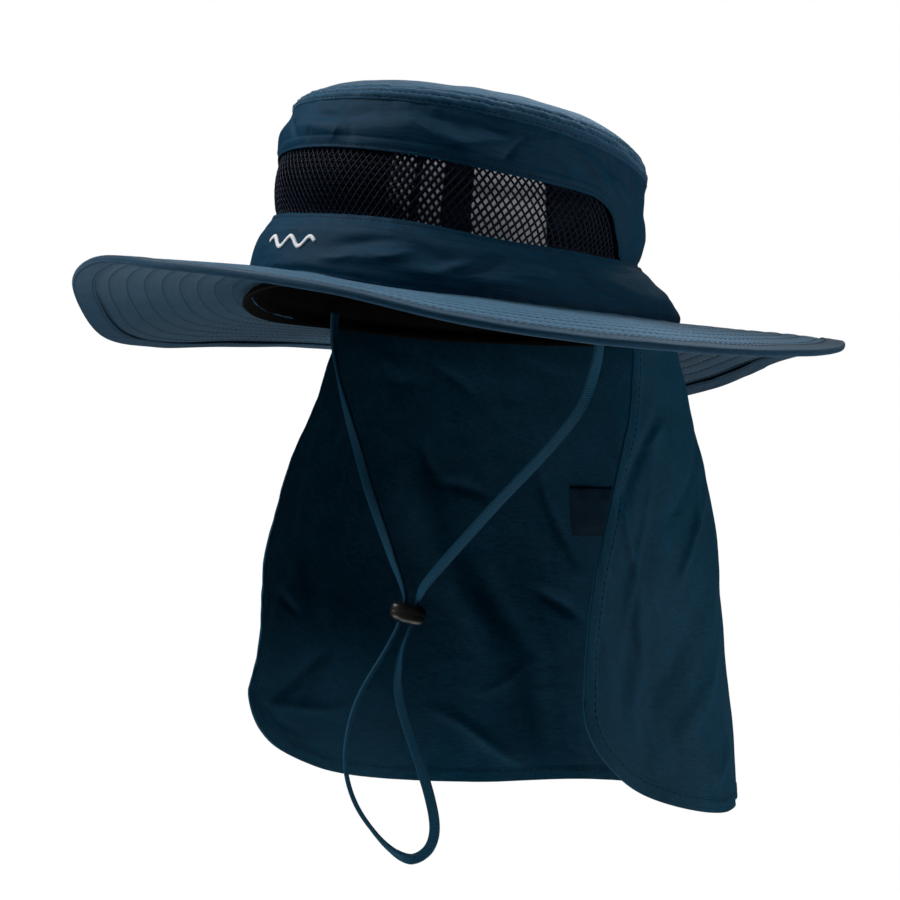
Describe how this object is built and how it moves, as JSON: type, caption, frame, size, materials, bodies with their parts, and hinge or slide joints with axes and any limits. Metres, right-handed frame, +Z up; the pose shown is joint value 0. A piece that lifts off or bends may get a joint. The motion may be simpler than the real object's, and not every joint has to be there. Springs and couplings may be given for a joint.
{
  "type": "legionnaire sun hat",
  "caption": "Soft wide-brimmed sun hat with a net window round the crown, a long neck flap and a chin cord with a sliding lock.",
  "frame": {"origin": "middle of the head opening, where the crown joins the brim", "axes": "+Z up, the front of the hat toward -Y, the wearer's left toward +X"},
  "size_m": [0.3128, 0.3336, 0.3288],
  "materials": {
    "crown_cloth": "thin woven nylon, faint sheen",
    "brim_cloth": "thin woven nylon, topstitched",
    "net": "open polyester net",
    "sweatband_cloth": "matte brushed knit",
    "flap_cloth": "thin woven nylon, faint sheen",
    "patch_cloth": "matte looped pile",
    "cord_braid": "flat woven braid",
    "lock_plastic": "moulded, half gloss",
    "thread": "embroidery thread"
  },
  "bodies": {
    "root": {"crown_top": "crown_cloth", "crown_side": "crown_cloth", "net_band": "net", "lower_band": "crown_cloth", "brim": "brim_cloth", "brim_binding": "brim_cloth", "sweatband": "sweatband_cloth", "motif": "thread", "neck_flap": "flap_cloth", "flap_patch": "patch_cloth", "chin_cord": "cord_braid", "cord_lock": "lock_plastic"}
  },
  "joints": []
}
